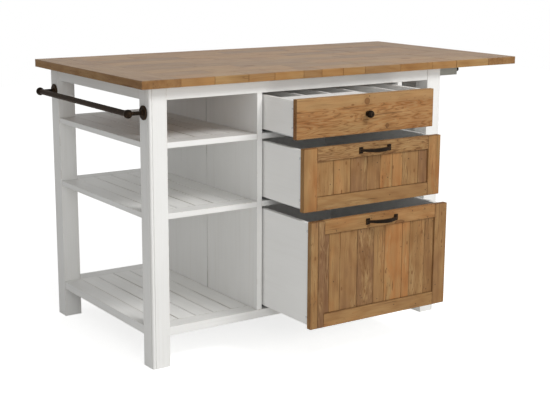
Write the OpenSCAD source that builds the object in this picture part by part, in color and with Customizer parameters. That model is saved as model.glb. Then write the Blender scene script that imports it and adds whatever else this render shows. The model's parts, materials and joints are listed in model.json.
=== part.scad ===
// Kitchen island unit: a painted frame on four beaded legs, with an open bay of
// slatted shelves, a bay of three drawers, a narrow tray slot, a towel rail on
// the left end and a wooden worktop whose right end is a drop leaf.
// Millimetres, +Z up. The drawers stand open and the leaf is up, as at rest.

/* [Worktop] */
// Height of the worktop's upper face above the floor
top_z = 900; // [850:1:960]
// Thickness of the worktop and the leaf
top_t = 26; // [20:1:40]
// Length of the drop leaf
leaf_l = 280; // [200:1:340]
// Depth of the worktop, front to back
top_w = 780; // [760:1:820]
// Overhang of the fixed worktop past the legs at both ends
overhang_l = 40; // [20:1:60]
// Overhang past the front legs
overhang_f = 35; // [20:1:45]
// Number of planks across the worktop
plank_n = 9; // [5:1:12]
// Width of the V groove between planks
plank_v = 2.4; // [1:0.1:4]
// Gap between the fixed worktop and the leaf
leaf_seam = 0.6; // [0.4:0.1:2]
// Width of the cleats across the two ends of the planks
cleat_w = 130; // [80:1:150]
// Length of the tongue on the planks' ends, inside a cleat
tongue_l = 14; // [8:1:20]
// Thickness of the tongue
tongue_t = 8; // [6:0.5:10]
// Distance of the tongue's ends from the worktop's edges
tongue_in = 25; // [15:1:40]
// Clearance of the tongue in its groove
tongue_play = 0.2; // [0.1:0.1:0.4]

/* [Frame] */
// Length of the frame over the legs
body_l = 1140; // [1100:1:1145]
// Depth of the frame over the legs
body_w = 710; // [690:1:720]
// Width of a square leg
leg_s = 60; // [50:1:70]
// Diameter of the bead on a leg's outer corner
bead_d = 12; // [8:0.5:16]
// Width of the corner that the bead and its quirks take
bead_zone = 10.8; // [7:0.1:14]
// How far rails, aprons and boards sit behind the legs' outer faces
inset = 1.5; // [0.5:0.1:4]
// Height of the front, back and left aprons
apron_h = 40; // [30:1:60]
// Thickness of the aprons
apron_t = 20; // [16:1:26]
// Height of the deeper rail at the right end
end_rail_h = 74; // [50:1:100]
// Thickness of the right end panel
end_panel_t = 12; // [9:1:16]
// Height of the lower rails' underside above the floor
base_z = 100; // [60:1:140]
// Height of the lower rails
rail_h = 28; // [22:1:40]

/* [Bays] */
// Clear width of the open shelf bay, leg to divider
shelf_bay = 322; // [260:1:360]
// Clear width of the tray slot between the partition and the right legs
tray_slot = 112; // [80:1:140]
// Thickness of the dividers
divider_t = 19; // [15:1:22]
// Depth at which the left divider's two boards meet
divider_joint_y = 313; // [200:1:400]
// Thickness of shelves and drawer boards
board_t = 18; // [15:1:22]
// Clear height of the top drawer's opening, and of the space over the upper shelf
top_open_h = 128; // [110:1:150]
// Clear height of the middle drawer's opening, and of the space over the middle shelf
middle_open_h = 200; // [160:1:240]
// Number of slats across the shelf bay
slat_n = 5; // [3:1:7]
// Gap between two slats
slat_gap = 2.4; // [1:0.1:5]
// Chamfer on the slats' upper edges
slat_v = 1; // [0.5:0.1:2]
// Thickness of the back panel
back_t = 8.5; // [6:0.5:12]
// Hairline joint between boards of one group
joint = 0.3; // [0.2:0.1:0.6]

/* [Drawer fronts] */
// Thickness of the drawer fronts
front_t = 19; // [16:1:24]
// Gap round an inset drawer front
front_gap = 2; // [1:0.5:4]
// Width of the framed fronts' stiles
stile_w = 50; // [40:1:60]
// Height of the framed fronts' rails
front_rail_h = 43; // [35:1:50]
// Number of planks in a framed front
front_plank_n = 7; // [4:1:9]
// Thickness of the planks in a framed front
front_plank_t = 11; // [8:1:13]
// Depth of the planks behind the frame's face
front_plank_set = 5; // [2:1:6]
// Chamfer on the planks' front edges
front_plank_v = 1.2; // [0.5:0.1:2]
// Chamfer round the faces of the fronts
front_edge = 1; // [0.5:0.1:2]

/* [Drawer boxes] */
// Length of a drawer box
box_l = 600; // [560:1:640]
// Thickness of box sides, back and inner front
box_t = 15; // [12:1:18]
// Gap between a box side and the bay's side
box_gap = 6; // [4:0.5:8]
// Height of the box sides' lower edge above the board below
box_lift = 12; // [9:0.5:16]
// Clearance above the box sides
box_head = 8; // [5:1:14]
// Height of the bottom panel above the sides' lower edge
bottom_up = 13; // [11:0.5:16]
// Thickness of the bottom panel
bottom_t = 6; // [4:0.5:8]
// Depth of the groove that holds the bottom panel
groove_d = 5; // [3:0.5:7]
// Clearance of the bottom panel in its groove
groove_play = 0.2; // [0.1:0.1:0.4]
// How far the top drawer stands open
pull_top = 183; // [0:1:400]
// How far the middle drawer stands open
pull_middle = 224; // [0:1:400]
// How far the bottom drawer stands open
pull_bottom = 266; // [0:1:400]
// Width of the flat deck at the front of the cutlery insert
deck_w = 95; // [60:1:120]
// Length of the deck, from the box's left side to the first long divider
deck_l = 303; // [200:1:400]
// Thickness of the insert's deck and dividers
insert_t = 10; // [8:1:12]
// Number of compartments behind the deck
compartment_n = 3; // [2:1:5]
// Share that the left one of the two full-length compartments has of their width
long_share = 0.6; // [0.4:0.05:0.7]
// Height that the insert stays below the box's upper edge
insert_drop = 2; // [1:1:6]

/* [Runners] */
// Length of every runner member
runner_l = 550; // [500:1:560]
// Distance of the runners behind a closed front
runner_back = 5; // [3:1:12]
// Sheet thickness of the runner members
sheet = 1.5; // [1:0.1:2]
// Width of the cabinet member's ball track
track_w = 6; // [4:0.5:8]
// Height of the cabinet member's ball track
track_h = 12; // [8:0.5:14]
// Distance of the track's middle from the bay's side
track_in = 35; // [33:0.5:40]
// Running play between runner members
runner_play = 0.5; // [0.3:0.1:0.8]
// Height of the cabinet member's flange on the bay's side
flange_h = 40; // [25:1:60]
// How far the cabinet member's floor reaches past its track
floor_past = 7; // [4:0.5:10]
// Height of the sliding members above the cabinet member's floor
slide_lift = 1; // [0.5:0.1:2]
// Width of the drawer member's fixing lips
lip_w = 6; // [4:0.5:10]

/* [Handles] */
// Distance between the middles of a bow handle's plates
bow_c = 112; // [90:1:140]
// How far a bow handle stands out
bow_out = 28; // [22:1:34]
// Thickness of the bow's strap
bow_t = 6; // [4:0.5:8]
// Height of the bow's strap in the middle
bow_h = 12; // [9:0.5:15]
// Height of the bow's strap at its plates
bow_end_h = 7; // [5:0.5:9]
// Width of a bow handle's plate
plate_w = 14; // [10:1:18]
// Height of a bow handle's plate
plate_h = 20; // [16:1:26]
// Thickness of a bow handle's plate
plate_t = 3; // [2:0.5:4]
// Diameter of the knob's head
knob_d = 24; // [20:1:32]
// Diameter of the knob's base
knob_base_d = 17; // [12:1:20]
// Diameter of the knob's neck
knob_neck_d = 10; // [7:0.5:14]
// How far the knob stands out
knob_out = 26; // [20:1:32]
// Thickness of the knob's base
knob_base_t = 2.5; // [1.5:0.1:4]
// Thickness of the knob's head
knob_head_t = 16; // [12:0.5:18]
// Depth that is turned off the head's ball to make its flat face
knob_flat = 1.5; // [0.5:0.1:3]

/* [Towel rail] */
// Height of the towel rail's middle
rail_z = 797; // [740:1:815]
// Distance of the brackets' middles from the frame's front and back
towel_in = 32; // [28:1:38]
// Distance of the towel rail's middle from the legs' left faces
rail_off = 53; // [40:1:70]
// Diameter of the towel bar
bar_d = 18; // [14:0.5:22]
// Diameter of the balls that hold the bar
ball_d = 27; // [24:0.5:34]
// Diameter of the posts
post_d = 12; // [9:0.5:16]
// Depth that a post reaches into its ball
post_seat = 2; // [1:0.1:2.5]
// Diameter of the rosettes on the legs
rosette_d = 44; // [34:1:46]
// Thickness of the rosettes
rosette_t = 6; // [4:0.5:8]
// Step turned on the rosettes' edges
rosette_step = 2; // [1:0.5:3]
// Width and height of the collar round a post's foot
collar = 3; // [2:0.5:4]
// Clearance between the bar and its sockets
socket_play = 0.2; // [0.1:0.1:0.4]

/* [Leaf brackets] */
// Distance of a bracket's middle from the frame's front or back
bracket_in = 75; // [74:1:120]
// Length of the arm under the leaf
arm_l = 84; // [60:1:110]
// Width of the arm
arm_w = 26; // [20:1:28]
// Height of the arm below the leaf
arm_h = 37; // [30:1:38]
// Sheet thickness of the arms and ears
arm_sheet = 2.5; // [2:0.1:3]
// Height of the pivot below the leaf's underside
pivot_drop = 6; // [6:0.5:8]
// Diameter of the hinge pin
pin_d = 5; // [4:0.5:6]
// Radius of the eyes round the pin
eye_r = 5.5; // [4.5:0.1:5.6]
// Radial clearance of the pin in the eyes
pin_play = 0.05; // [0.03:0.01:0.08]
// Side clearance between the arm and the ears
ear_play = 0.5; // [0.3:0.1:0.8]
// Length of the ears' plate under the fixed worktop
ear_plate_l = 30; // [20:1:32]
// Distance between the eyes' round and the sheet beside it
eye_gap = 1.5; // [1:0.1:2]
// Length of the ears' slope, from the plate's far end
ear_slope_l = 14; // [10:1:18]
// Diameter of the pin's heads
pin_head_d = 9; // [7:0.5:10]
// Thickness of the pin's heads
pin_head_t = 1.5; // [1:0.1:2]
// Width of the fixing flanges on arms and ears
bracket_flange = 9; // [6:0.5:12]
// Diameter of the release button
button_d = 8; // [6:0.5:10]
// How far the release button stands out
button_out = 8; // [7:0.5:12]
// Travel of the release button
button_travel = 5; // [3:0.5:6]
// Length of the button's stem inside the arm
button_stem = 14; // [10:1:20]
// Width of the collar that keeps the button in the arm
button_collar_w = 2; // [1:0.5:3]
// Thickness of that collar
button_collar_t = 3; // [2:0.5:4]
// Distance of the button's middle below the eyes
button_drop = 8; // [6:0.5:10]
// Step turned on the button's face
button_step = 1; // [0.5:0.1:1.5]
// Radial clearance of the release button
button_play = 0.15; // [0.1:0.05:0.3]

/* [Hidden] */
under = top_z - top_t;
shelf_base_z = base_z + rail_h;
apron_z = under - apron_h;
shelf_upper_z = apron_z - top_open_h;
shelf_middle_z = shelf_upper_z - board_t - middle_open_h;
top_right = body_l + overhang_l;
leaf_left = top_right + leaf_seam;
leaf_right = leaf_left + leaf_l;
planks_left = cleat_w - overhang_l;
planks_right = leaf_right - cleat_w;
plank_w = top_w / plank_n;
back_edge = top_w - overhang_f;
inner_front = leg_s;
inner_back = body_w - leg_s;
inner_left = leg_s;
inner_right = body_l - leg_s;
board_back = body_w - inset - back_t;
divider_x = inner_left + shelf_bay;
bay_l = divider_x + divider_t;
bay_r = inner_right - tray_slot - divider_t;
// Each drawer: the board it runs over, the underside above it, how far it is open
top_drawer = [shelf_upper_z, apron_z, pull_top];
middle_drawer = [shelf_middle_z, shelf_upper_z - board_t, pull_middle];
bottom_drawer = [shelf_base_z, shelf_middle_z - board_t, pull_bottom];
drawers = [top_drawer, middle_drawer, bottom_drawer];
front_l = bay_l + front_gap;
front_r = bay_r - front_gap;
box_left = bay_l + box_gap;
box_right = bay_r - box_gap;
box_y = front_t;
runner_y = front_t + runner_back;
handle_x = (front_l + front_r) / 2;
pivot_x = top_right + leaf_seam / 2;
pivot_z = under - pivot_drop;
arm_x = pivot_x + eye_r + eye_gap;
arm_end = arm_x + arm_l;
arm_foot = under - arm_h;
ear_y = arm_w / 2 + ear_play;
ear_plate_r = pivot_x - eye_r - eye_gap;
ear_plate_x = ear_plate_r - ear_plate_l;
button_z = pivot_z - eye_r - button_drop;
far_left = -(rail_off + ball_d / 2);
far_front = -(max(pull_middle, pull_bottom) + plate_t + bow_out);
origin = [(far_left + leaf_right) / 2, (far_front + back_edge) / 2];
facets = 96;

white = [0.93, 0.93, 0.91];
shade_white = [0.88, 0.88, 0.86];
wood = [0.66, 0.5, 0.33];
bronze = [0.13, 0.11, 0.1];
steel = [0.62, 0.63, 0.64];

// ---------- shared shapes ----------

// Places a module that is drawn from the front left leg's outer corner
module placed() translate([-origin.x, -origin.y, 0]) children();

// A board between two corners
module board(x, y, z) translate([x[0], y[0], z[0]])
    cube([x[1] - x[0], y[1] - y[0], z[1] - z[0]]);

// An outline in Y and Z, drawn out along X
module along_x(x0, x1) translate([x0, 0, 0]) rotate([90, 0, 90])
    linear_extrude(x1 - x0) children();

// An outline in X and Z, drawn out along Y
module along_y(y0, y1) translate([0, y1, 0]) rotate([90, 0, 0])
    linear_extrude(y1 - y0) children();

// A rectangle with chamfered upper corners
module topped(w, h, v) polygon([[0, 0], [w, 0], [w, h - v], [w - v, h], [v, h], [0, h - v]]);

// Two copies, mirrored about the drawer bay's middle
module both_sides() {
    children();
    translate([bay_l + bay_r, 0, 0]) mirror([1, 0, 0]) children();
}

// Two copies, mirrored about the middle of the frame's depth
module front_and_back() {
    children();
    translate([0, body_w, 0]) mirror([0, 1, 0]) children();
}

// ---------- worktop and frame ----------

// Outline across the planks, with a V groove where two of them meet
module plank_outline() difference() {
    translate([-overhang_f, under]) topped(top_w, top_t, plank_v / 2);
    for (i = [1 : plank_n - 1])
        translate([i * plank_w - overhang_f, top_z])
            polygon([[-plank_v, plank_v / 2], [0, -plank_v / 2], [plank_v, plank_v / 2]]);
}

// Tongue on the planks' ends, grown by play where it is cut into a cleat
module tongue(x, play = 0)
    board(x, [tongue_in - overhang_f - play, back_edge - tongue_in + play],
        [under + (top_t - tongue_t) / 2 - play, under + (top_t + tongue_t) / 2 + play]);

module cleat(x) along_y(-overhang_f, back_edge) translate([x, under])
    topped(cleat_w, top_t, plank_v / 2);

module worktop() color(wood) placed() {
    along_x(planks_left + joint, top_right) plank_outline();
    tongue([planks_left - tongue_l, planks_left + joint + tongue_l]);
}

module worktop_cleat() color(wood) placed() difference() {
    cleat(-overhang_l);
    tongue([planks_left - tongue_l - joint, planks_left + 1], tongue_play);
}

module leg() linear_extrude(under) difference() {
    square(leg_s);
    difference() {
        square(bead_zone);
        translate([bead_d / 2, bead_d / 2]) circle(d = bead_d, $fn = facets);
        translate([bead_d / 2, bead_d / 2]) square(bead_zone);
    }
}

module leg_front_left() color(white) placed() leg();

module leg_front_right() color(white) placed()
    translate([body_l, 0, 0]) mirror([1, 0, 0]) leg();

module leg_back_left() color(white) placed()
    translate([0, body_w, 0]) mirror([0, 1, 0]) leg();

module leg_back_right() color(white) placed()
    translate([body_l, body_w, 0]) rotate(180) leg();

module apron_front() color(white) placed()
    board([inner_left, inner_right], [inset, inset + apron_t], [apron_z, under]);

module apron_back() color(white) placed()
    board([inner_left, inner_right], [body_w - inset - apron_t, body_w - inset],
        [apron_z, under]);

module apron_left() color(white) placed()
    board([inset, inset + apron_t], [inner_front, inner_back], [apron_z, under]);

module end_rail_right() color(white) placed()
    board([body_l - inset - apron_t, body_l - inset], [inner_front, inner_back],
        [under - end_rail_h, under]);

module base_rail_front() color(white) placed()
    board([inner_left, inner_right], [inset, inner_front], [base_z, shelf_base_z]);

module base_rail_back() color(white) placed()
    board([inner_left, inner_right], [inner_back, body_w - inset], [base_z, shelf_base_z]);

module base_end_rails() color(white) placed() {
    board([inset, inner_left], [inner_front, inner_back], [base_z, shelf_base_z]);
    board([inner_right, body_l - inset], [inner_front, inner_back], [base_z, shelf_base_z]);
}

// ---------- shelves, dividers and panels ----------

// Slats that fill the shelf bay inside its rails, under the height top
module slats(top) {
    pitch = (shelf_bay + slat_gap) / slat_n;
    for (i = [0 : slat_n - 1])
        translate([inner_left + i * pitch, 0, top - board_t])
            along_y(inner_front, inner_back) topped(pitch - slat_gap, board_t, slat_v);
}

// Front, back and end rails of a shelf, notched round the two left legs
module shelf_frame(top) {
    z = [top - board_t, top];
    board([inner_left + joint, divider_x], [inset, inner_front - joint], z);
    board([inner_left + joint, divider_x], [inner_back + joint, body_w - inset], z);
    board([inset, inner_left - joint], [inner_front, inner_back], z);
}

module base_slats() color(shade_white) placed() slats(shelf_base_z);
module shelf_upper_frame() color(white) placed() shelf_frame(shelf_upper_z);
module shelf_upper_slats() color(shade_white) placed() slats(shelf_upper_z);
module shelf_middle_frame() color(white) placed() shelf_frame(shelf_middle_z);
module shelf_middle_slats() color(shade_white) placed() slats(shelf_middle_z);

module base_board() color(shade_white) placed()
    board([divider_x, inner_right], [inner_front, inner_back],
        [shelf_base_z - board_t, shelf_base_z]);

// An upright board from the base to the worktop, notched under the aprons
module upright(x, y) difference() {
    board([x, x + divider_t], y, [shelf_base_z, under]);
    board([x - 1, x + divider_t + 1], [0, inset + apron_t], [apron_z, under + 1]);
    board([x - 1, x + divider_t + 1], [body_w - inset - apron_t, body_w],
        [apron_z, under + 1]);
}

module divider_front_board() color(white) placed()
    upright(divider_x, [inset, divider_joint_y]);

module divider_back_board() color(white) placed()
    upright(divider_x, [divider_joint_y + joint, board_back]);

module partition() color(white) placed() upright(bay_r, [inset, board_back]);

module end_panel() color(shade_white) placed()
    board([body_l - inset - apron_t / 2 - end_panel_t / 2,
        body_l - inset - apron_t / 2 + end_panel_t / 2],
        [inner_front, inner_back], [shelf_base_z, under - end_rail_h]);

module back_panel() color(shade_white) placed()
    board([divider_x, inner_right], [board_back, body_w - inset], [shelf_base_z, apron_z]);

module drawer_boards() color(shade_white) placed()
    for (top = [shelf_upper_z, shelf_middle_z])
        board([bay_l, bay_r], [inset, board_back], [top - board_t, top]);

// ---------- runners ----------

// Cabinet member: a flange on the bay's side, a floor and the ball track
module cabinet_member(z) along_y(runner_y, runner_y + runner_l) translate([bay_l, z]) {
    square([sheet, flange_h]);
    square([track_in + track_w / 2 + floor_past, sheet]);
    translate([track_in - track_w / 2, 0]) square([track_w, sheet + track_h]);
}

// An inverted channel that rides over a rail of width w, to a height over the floor
module channel(w, height) {
    inner = w + 2 * runner_play;
    outer = inner + 2 * sheet;
    translate([track_in - outer / 2, sheet + slide_lift]) difference() {
        square([outer, height - slide_lift]);
        translate([sheet, -1]) square([inner, height - slide_lift - sheet + 1]);
    }
}

// Sliding member between cabinet and drawer, half as far open as its drawer
module sliding_member(drawer)
    translate([0, -drawer[2] / 2, 0]) along_y(runner_y, runner_y + runner_l)
        translate([bay_l, drawer[0]]) channel(track_w, track_h + runner_play + sheet);

// Drawer member, whose lips are fixed to the underside of the bottom panel
module drawer_member(drawer) {
    slide_w = track_w + 2 * runner_play + 2 * sheet;
    lip_z = box_lift + bottom_up - sheet;
    translate([0, -drawer[2], 0]) along_y(runner_y, runner_y + runner_l)
        translate([bay_l, drawer[0]]) {
            channel(slide_w, lip_z);
            translate([track_in - slide_w / 2 - lip_w, lip_z])
                square([slide_w + 2 * lip_w, sheet]);
        }
}

module runner_cabinet_members() color(steel) placed()
    for (drawer = drawers) both_sides() cabinet_member(drawer[0]);

module runner_top_slides() color(steel) placed() both_sides() sliding_member(top_drawer);
module runner_middle_slides() color(steel) placed() both_sides() sliding_member(middle_drawer);
module runner_bottom_slides() color(steel) placed() both_sides() sliding_member(bottom_drawer);
module runner_top_members() color(steel) placed() both_sides() drawer_member(top_drawer);
module runner_middle_members() color(steel) placed() both_sides() drawer_member(middle_drawer);
module runner_bottom_members() color(steel) placed() both_sides() drawer_member(bottom_drawer);

// ---------- drawer boxes ----------

// Heights of a box: lower edge, bottom panel's underside and face, upper edge
function box_z0(drawer) = drawer[0] + box_lift;
function bottom_z0(drawer) = box_z0(drawer) + bottom_up;
function bottom_z1(drawer) = bottom_z0(drawer) + bottom_t;
function box_z1(drawer) = drawer[1] - box_head;

module box_sides(drawer) translate([0, -drawer[2], 0]) both_sides() difference() {
    board([box_left, box_left + box_t], [box_y, box_y + box_l],
        [box_z0(drawer), box_z1(drawer)]);
    board([box_left + box_t - groove_d, box_left + box_t + 1],
        [box_y - 1, box_y + box_l + 1],
        [bottom_z0(drawer) - groove_play, bottom_z1(drawer) + groove_play]);
}

// Inner front and back, which stand on the bottom panel between the sides
module box_ends(drawer) translate([0, -drawer[2], 0]) for (y = [box_y, box_y + box_l - box_t])
    board([box_left + box_t, box_right - box_t], [y, y + box_t],
        [bottom_z1(drawer), box_z1(drawer)]);

module box_bottom(drawer) translate([0, -drawer[2], 0])
    board([box_left + box_t - groove_d + groove_play, box_right - box_t + groove_d - groove_play],
        [box_y, box_y + box_l], [bottom_z0(drawer), bottom_z1(drawer)]);

module drawer_top_sides() color(white) placed() box_sides(top_drawer);
module drawer_top_ends() color(white) placed() box_ends(top_drawer);
module drawer_top_bottom() color(shade_white) placed() box_bottom(top_drawer);
module drawer_middle_sides() color(white) placed() box_sides(middle_drawer);
module drawer_middle_ends() color(white) placed() box_ends(middle_drawer);
module drawer_middle_bottom() color(shade_white) placed() box_bottom(middle_drawer);
module drawer_bottom_sides() color(white) placed() box_sides(bottom_drawer);
module drawer_bottom_ends() color(white) placed() box_ends(bottom_drawer);
module drawer_bottom_bottom() color(shade_white) placed() box_bottom(bottom_drawer);

// Flat deck of the cutlery insert, at the front of the box
module cutlery_deck() color(white) placed() translate([0, -pull_top, 0])
    board([box_left + box_t + joint, box_left + box_t + deck_l - insert_t / 2 - joint],
        [box_y + box_t + joint, box_y + box_t + deck_w],
        [box_z1(top_drawer) - insert_drop - insert_t, box_z1(top_drawer) - insert_drop]);

// Cross wall under the deck's back edge, the dividers behind it, and the long
// dividers to its right
module cutlery_dividers() color(white) placed() translate([0, -pull_top, 0]) {
    x0 = box_left + box_t;
    x1 = box_right - box_t;
    y0 = box_y + box_t + deck_w;
    y1 = box_y + box_l - box_t - joint;
    z = [bottom_z1(top_drawer), box_z1(top_drawer) - insert_drop];
    board([x0 + joint, x0 + deck_l - insert_t / 2 - joint], [y0 - insert_t, y0],
        [z[0], z[1] - insert_t - joint]);
    for (i = [1 : compartment_n - 1])
        board([for (s = [-1, 1]) x0 + deck_l * i / compartment_n + s * insert_t / 2],
            [y0 + joint, y1], z);
    for (share = [0, long_share])
        board([for (s = [-1, 1]) x0 + deck_l + (x1 - x0 - deck_l) * share + s * insert_t / 2],
            [box_y + box_t + joint, y1], z);
}

// ---------- drawer fronts ----------

function front_z0(drawer) = drawer[0] + front_gap;
function front_z1(drawer) = drawer[1] - front_gap;

// A board whose front edges are chamfered, seen from the front
module faced(x, z, y0, t, v) {
    hull() {
        board([x[0], x[1]], [y0 + v, y0 + t], [z[0], z[1]]);
        board([x[0] + v, x[1] - v], [y0, y0 + v], [z[0] + v, z[1] - v]);
    }
}

module drawer_top_front() color(wood) placed() translate([0, -pull_top, 0])
    faced([front_l, front_r], [front_z0(top_drawer), front_z1(top_drawer)],
        0, front_t, front_edge);

// Stiles and rails of a framed front
module front_frame(drawer) translate([0, -drawer[2], 0]) {
    z0 = front_z0(drawer);
    z1 = front_z1(drawer);
    inner = [front_l + stile_w + joint, front_r - stile_w - joint];
    faced([front_l, front_l + stile_w], [z0, z1], 0, front_t, front_edge);
    faced([front_r - stile_w, front_r], [z0, z1], 0, front_t, front_edge);
    faced(inner, [z0, z0 + front_rail_h], 0, front_t, front_edge);
    faced(inner, [z1 - front_rail_h, z1], 0, front_t, front_edge);
}

// Upright planks inside the frame
module front_planks(drawer) translate([0, -drawer[2], 0]) {
    x0 = front_l + stile_w;
    x1 = front_r - stile_w;
    pitch = (x1 - x0) / front_plank_n;
    z = [front_z0(drawer) + front_rail_h + joint, front_z1(drawer) - front_rail_h - joint];
    for (i = [0 : front_plank_n - 1])
        translate([x0 + i * pitch + joint, 0, z[0]])
            linear_extrude(z[1] - z[0])
                translate([0, front_plank_set + front_plank_t]) mirror([0, 1])
                    topped(pitch - 2 * joint, front_plank_t, front_plank_v);
}

module drawer_middle_frame() color(wood) placed() front_frame(middle_drawer);
module drawer_middle_planks() color(wood) placed() front_planks(middle_drawer);
module drawer_bottom_frame() color(wood) placed() front_frame(bottom_drawer);
module drawer_bottom_planks() color(wood) placed() front_planks(bottom_drawer);

// ---------- handles ----------

// Bow handle on a face at y = 0, standing out along -Y: two plates and an
// arched strap that is tallest in the middle
module bow_handle() {
    sag = bow_out - bow_t / 2;
    strap_r = (bow_c * bow_c / 4 + sag * sag) / (2 * sag);
    taper_r = bow_c * bow_c / (4 * (bow_h - bow_end_h));
    for (s = [-1, 1])
        board([s * bow_c / 2 - plate_w / 2, s * bow_c / 2 + plate_w / 2], [-plate_t, 0],
            [-plate_h / 2, plate_h / 2]);
    intersection() {
        translate([0, strap_r - sag - plate_t, -bow_h / 2]) linear_extrude(bow_h) difference() {
            circle(r = strap_r + bow_t / 2, $fn = facets);
            circle(r = strap_r - bow_t / 2, $fn = facets);
        }
        board([-bow_c / 2 - plate_w / 2, bow_c / 2 + plate_w / 2],
            [-plate_t - bow_out - 1, -plate_t], [-bow_h, bow_h]);
        strap_taper(taper_r);
    }
}

// The space between two large arcs, one above and one below the strap
module strap_taper(r) intersection() {
    translate([0, 0, r - bow_h / 2]) rotate([90, 0, 0])
        cylinder(r = r, h = 4 * bow_out, center = true, $fn = 4 * facets);
    translate([0, 0, bow_h / 2 - r]) rotate([90, 0, 0])
        cylinder(r = r, h = 4 * bow_out, center = true, $fn = 4 * facets);
}

module handle_on(drawer)
    translate([handle_x, -drawer[2], front_z1(drawer) - front_rail_h / 2]) bow_handle();

module handle_middle() color(bronze) placed() handle_on(middle_drawer);
module handle_bottom() color(bronze) placed() handle_on(bottom_drawer);

// Turned knob on the top front: base, neck and a head cut from a ball
module knob() color(bronze) placed()
    translate([handle_x, -pull_top, (front_z0(top_drawer) + front_z1(top_drawer)) / 2])
        rotate([90, 0, 0]) rotate_extrude($fn = facets) {
            square([knob_base_d / 2, knob_base_t]);
            square([knob_neck_d / 2, knob_out - knob_head_t / 2]);
            intersection() {
                translate([0, knob_out + knob_flat - knob_d / 2]) circle(d = knob_d, $fn = facets);
                translate([0, knob_out - knob_head_t]) square([knob_d / 2, knob_head_t]);
            }
        }

// ---------- towel rail ----------

// Rosette and post on the left face of a leg, and a ball with a blind socket
module towel_bracket() translate([0, towel_in, rail_z]) {
    socket_r = bar_d / 2 + socket_play;
    rotate([0, -90, 0]) rotate_extrude($fn = facets) {
        square([rosette_d / 2 - rosette_step, rosette_t]);
        square([rosette_d / 2, rosette_t - rosette_step]);
        square([post_d / 2 + collar, rosette_t + collar]);
        square([post_d / 2, rail_off - ball_d / 2 + post_seat]);
    }
    translate([-rail_off, 0, 0]) rotate([-90, 0, 0]) rotate_extrude($fn = facets)
        difference() {
            intersection() {
                circle(d = ball_d, $fn = facets);
                translate([0, -ball_d]) square(2 * ball_d);
            }
            translate([-1, 0]) square([socket_r + 1, ball_d]);
        }
}

module towel_brackets() color(bronze) placed() front_and_back() towel_bracket();

module towel_bar() color(bronze) placed()
    translate([-rail_off, towel_in + socket_play, rail_z]) rotate([-90, 0, 0])
        cylinder(d = bar_d, h = body_w - 2 * towel_in - 2 * socket_play, $fn = facets);

// ---------- drop leaf ----------

module leaf() color(wood) placed() {
    along_x(leaf_left, planks_right - joint) plank_outline();
    tongue([planks_right - joint - tongue_l, planks_right + tongue_l]);
}

module leaf_cleat() color(wood) placed() difference() {
    cleat(planks_right);
    tongue([planks_right - 1, planks_right + tongue_l + joint], tongue_play);
}

function on_eye(angle) = [pivot_x + eye_r * cos(angle), pivot_z + eye_r * sin(angle)];

module pin_bore() translate([pivot_x, 0, pivot_z]) rotate([90, 0, 0])
    cylinder(d = pin_d + 2 * pin_play, h = 2 * arm_w, center = true, $fn = facets);

// One side of the arm: a cheek that ends in an eye, and a fixing flange
module arm_cheek() {
    along_y(arm_w / 2 - arm_sheet, arm_w / 2) {
        translate([arm_x, arm_foot]) square([arm_l, arm_h]);
        translate([pivot_x, pivot_z]) circle(r = eye_r, $fn = facets);
        polygon([on_eye(90), [arm_x + 1, pivot_z + eye_r], [arm_x + 1, arm_foot],
            [arm_x, arm_foot], on_eye(230)]);
    }
    board([arm_x + eye_gap, arm_end - eye_gap], [arm_w / 2 - joint, arm_w / 2 + bracket_flange],
        [under - arm_sheet, under]);
}

// Sheet channel under the leaf, with an end plate that carries the release
// button. Drawn about y = 0.
module arm() difference() {
    union() {
        arm_cheek();
        mirror([0, 1, 0]) arm_cheek();
        board([arm_x, arm_end], [-arm_w / 2, arm_w / 2], [arm_foot, arm_foot + arm_sheet]);
        board([arm_end - arm_sheet, arm_end], [-arm_w / 2, arm_w / 2], [arm_foot, under]);
    }
    pin_bore();
    translate([arm_end, 0, button_z]) rotate([0, 90, 0])
        cylinder(d = button_d + 2 * button_play, h = 4 * arm_sheet, center = true,
            $fn = facets);
}

module leaf_arms() color(steel) placed() front_and_back() translate([0, bracket_in, 0]) arm();

// Plate under the fixed worktop with two ears that straddle the arm
module ears() difference() {
    union() {
        board([ear_plate_x, ear_plate_r],
            [-ear_y - arm_sheet - bracket_flange, ear_y + arm_sheet + bracket_flange],
            [under - arm_sheet, under]);
        for (s = [-1, 1])
            translate([0, s * (ear_y + arm_sheet / 2), 0])
                along_y(-arm_sheet / 2, arm_sheet / 2) {
                    translate([pivot_x, pivot_z]) circle(r = eye_r, $fn = facets);
                    polygon([on_eye(90), on_eye(270),
                        [ear_plate_x + ear_slope_l, under - 2 * arm_sheet],
                        [ear_plate_x + bracket_flange, under - arm_sheet / 2],
                        [ear_plate_r, under - arm_sheet / 2]]);
                }
    }
    pin_bore();
}

module leaf_ears() color(steel) placed() front_and_back() translate([0, bracket_in, 0]) ears();

// Hinge pin with a head at each end
module pin() translate([pivot_x, 0, pivot_z]) rotate([90, 0, 0]) {
    half = ear_y + arm_sheet + 2 * pin_play;
    cylinder(d = pin_d, h = 2 * half + pin_head_t, center = true, $fn = facets);
    for (s = [-1, 1])
        translate([0, 0, s * (half + pin_head_t / 2)])
            cylinder(d = pin_head_d, h = pin_head_t, center = true, $fn = facets);
}

module leaf_pins() color(steel) placed() front_and_back() translate([0, bracket_in, 0]) pin();

// Push button through the arm's end plate, with a collar inside the arm
module button() translate([arm_end, bracket_in, button_z]) rotate([0, 90, 0])
    rotate_extrude($fn = facets) {
        translate([0, -button_stem])
            square([button_d / 2, button_stem + button_out - button_step]);
        translate([0, -button_stem]) square([button_d / 2 - button_step, button_stem + button_out]);
        translate([0, -arm_sheet - joint - button_collar_t])
            square([button_d / 2 + button_collar_w, button_collar_t]);
    }

module release_button_front() color(bronze) placed() button();

module release_button_back() color(bronze) placed()
    translate([0, body_w, 0]) mirror([0, 1, 0]) button();

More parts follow.
